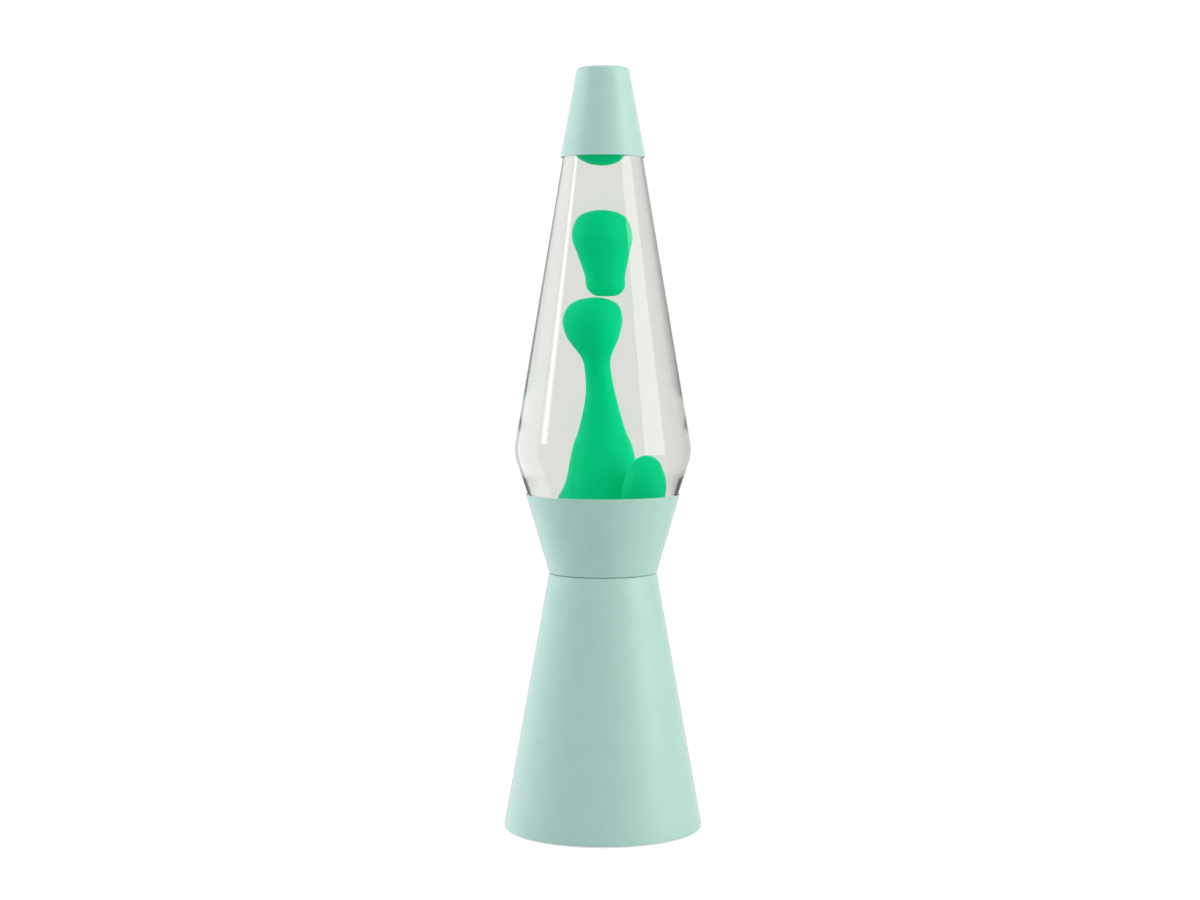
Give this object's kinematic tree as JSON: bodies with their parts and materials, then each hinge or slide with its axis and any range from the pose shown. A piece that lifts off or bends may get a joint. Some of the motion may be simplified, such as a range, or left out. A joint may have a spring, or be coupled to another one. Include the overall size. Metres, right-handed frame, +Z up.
{
  "type": "lava lamp",
  "caption": "Table lava lamp: waisted painted metal base with a lampholder inside, tapered glass bottle of clear liquid and green wax, and a painted metal cap.",
  "frame": {"origin": "centre of the circle that the feet stand on", "axes": "+Z up along the lamp's axis, +Y towards the cord inlet at the back, -Y towards the viewer"},
  "size_m": [0.1088, 0.1088, 0.414],
  "materials": {
    "mint_paint": "matte powder coat",
    "clear_glass": "clear, smooth",
    "clear_liquid": "clear liquid",
    "green_wax": "smooth, slightly translucent wax",
    "dark_wire": "bare wire",
    "tinplate": "bright tinplate",
    "grey_liner": "soft liner",
    "zinc_steel": "zinc plated",
    "brass": "plain",
    "black_phenolic": "moulded",
    "white_ceramic": "unglazed",
    "black_rubber": "matte"
  },
  "bodies": {
    "base": {"base_plate": "zinc_steel", "bridge": "zinc_steel", "bridge_bolt_1": "zinc_steel", "bridge_bolt_2": "zinc_steel", "bridge_nut_1": "zinc_steel", "bridge_nut_2": "zinc_steel", "cone": "mint_paint", "cord_bush": "black_rubber", "cup": "mint_paint", "foot_1": "black_rubber", "foot_2": "black_rubber", "foot_3": "black_rubber", "foot_4": "black_rubber", "lampholder_contact": "brass", "lampholder_insert": "white_ceramic", "lampholder_shell": "black_phenolic", "lampholder_sleeve": "brass", "nipple": "zinc_steel", "nipple_nut_lower": "zinc_steel", "nipple_nut_upper": "zinc_steel", "plate_bolt_1": "zinc_steel", "plate_bolt_2": "zinc_steel", "plate_bolt_3": "zinc_steel", "terminal_screw_1": "zinc_steel", "terminal_screw_2": "zinc_steel", "waist_bolt_1": "zinc_steel", "waist_bolt_2": "zinc_steel", "waist_bolt_3": "zinc_steel", "waist_nut_1": "zinc_steel", "waist_nut_2": "zinc_steel", "waist_nut_3": "zinc_steel"},
    "bottle": {"bottle": "clear_glass", "crown_cap": "tinplate", "crown_liner": "grey_liner", "liquid": "clear_liquid", "wax_column": "green_wax", "wax_coil": "dark_wire"},
    "cap": {"cap": "mint_paint"},
    "blob": {"wax_blob": "green_wax"},
    "mound": {"wax_mound": "green_wax"},
    "dome": {"wax_dome": "green_wax"},
    "bulb_carrier": {"bulb_insulator": "black_phenolic", "bulb_contact": "brass"},
    "bulb": {"bulb_glass": "clear_glass", "bulb_stem": "clear_glass", "bulb_filament": "dark_wire", "bulb_screw_shell": "brass"}
  },
  "joints": [
    {"name": "bottle_lift", "type": "slide", "parent": "base", "child": "bottle", "axis": [0, 0, 1], "range_m": [0, 0.08]},
    {"name": "cap_lift", "type": "slide", "parent": "bottle", "child": "cap", "axis": [0, 0, 1], "range_m": [0, 0.08]},
    {"name": "bulb_travel", "type": "slide", "parent": "base", "child": "bulb_carrier", "axis": [0, 0, 1], "range_m": [0, 0.00847]},
    {"name": "bulb_turn", "type": "hinge", "parent": "bulb_carrier", "child": "bulb", "pos_m": [0, 0, 0.1], "axis": [0, 0, 1], "range_deg": [0, 1081]},
    {"name": "blob_rise", "type": "slide", "parent": "bottle", "child": "blob", "axis": [0, 0, 1], "range_m": [0, 0.012], "deforming": ["liquid"]},
    {"name": "mound_rise", "type": "slide", "parent": "bottle", "child": "mound", "axis": [0, 0, 1], "range_m": [0, 0.04], "deforming": ["liquid"]},
    {"name": "dome_sink", "type": "slide", "parent": "bottle", "child": "dome", "axis": [0, 0, -1], "range_m": [0, 0.01], "deforming": ["liquid"]}
  ],
  "couplings": [
    {"joint": "bulb_turn", "follows": "bulb_travel", "rad_per_m": 2226.5}
  ]
}
